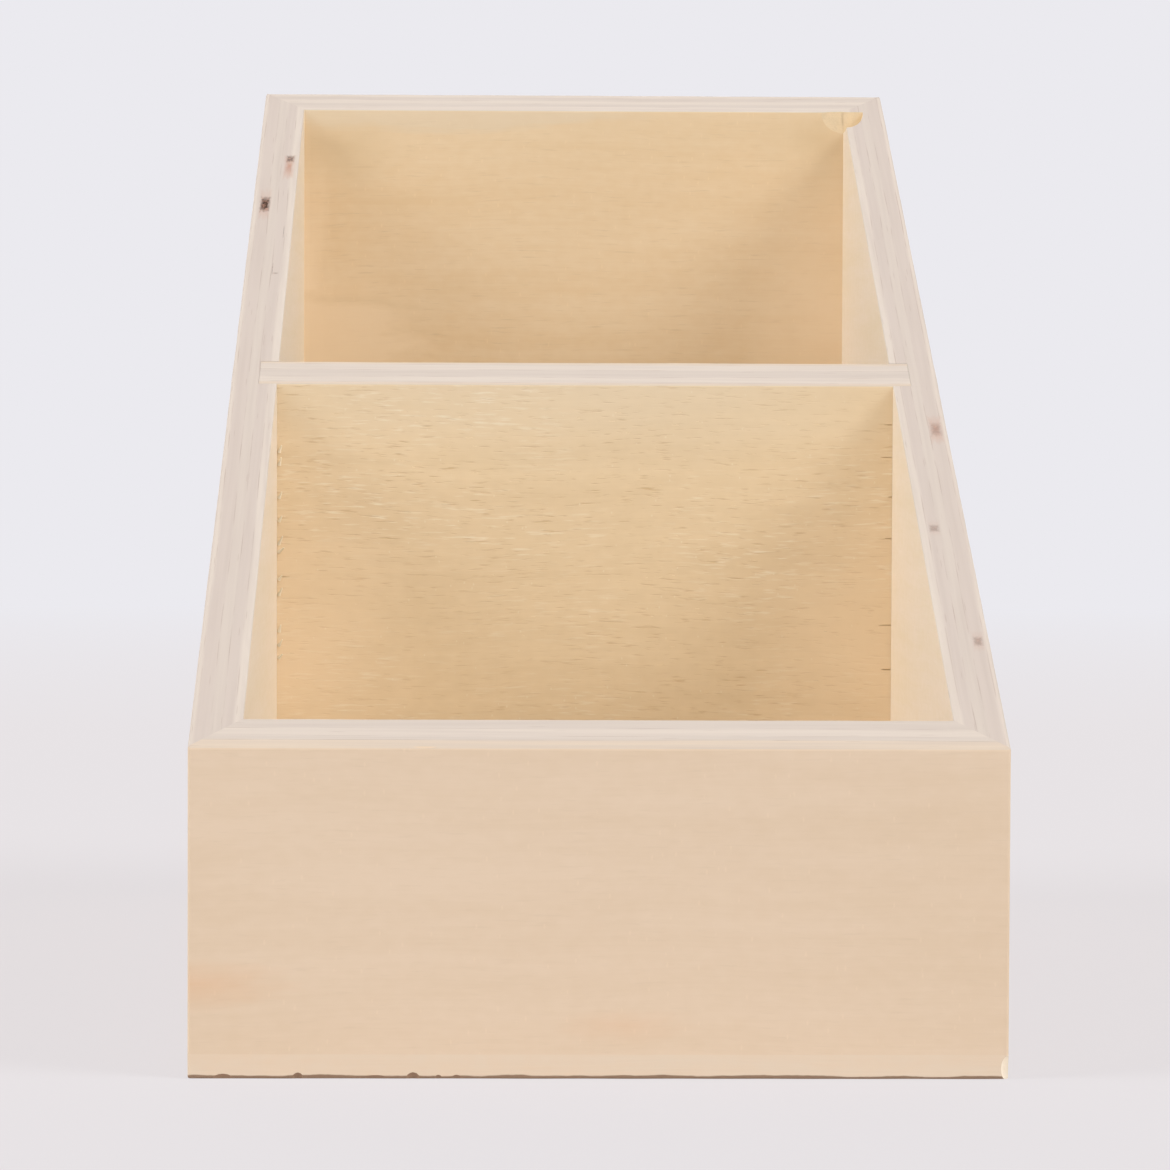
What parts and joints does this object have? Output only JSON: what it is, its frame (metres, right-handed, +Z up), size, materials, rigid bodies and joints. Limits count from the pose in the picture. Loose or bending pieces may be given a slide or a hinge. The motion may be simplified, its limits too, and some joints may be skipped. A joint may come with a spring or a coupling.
{
  "type": "storage box",
  "caption": "Open plywood storage box whose rim slopes up from a low front to a tall back, with mitred corners, a glued base and a lift-out divider across the middle.",
  "frame": {"origin": "middle of the underside, on the surface that the box stands on", "axes": "+Z up, +Y along the length from the front wall to the back wall, +X across the box to the right seen from the front"},
  "size_m": [0.1, 0.2, 0.1304],
  "materials": {
    "wall_plywood": "bare sanded five-ply plywood with pale veneer faces and banded edges",
    "base_plywood": "bare sanded thin plywood",
    "divider_plywood": "bare three-ply plywood with a rotary-cut face veneer that shows short checks"
  },
  "bodies": {
    "box": {"base_panel": "base_plywood", "front_wall": "wall_plywood", "back_wall": "wall_plywood", "left_wall": "wall_plywood", "right_wall": "wall_plywood"},
    "divider": {"divider": "divider_plywood"}
  },
  "joints": [
    {"name": "divider_lift", "type": "slide", "parent": "box", "child": "divider", "axis": [0, 0, 1], "range_m": [0, 0.09]}
  ]
}
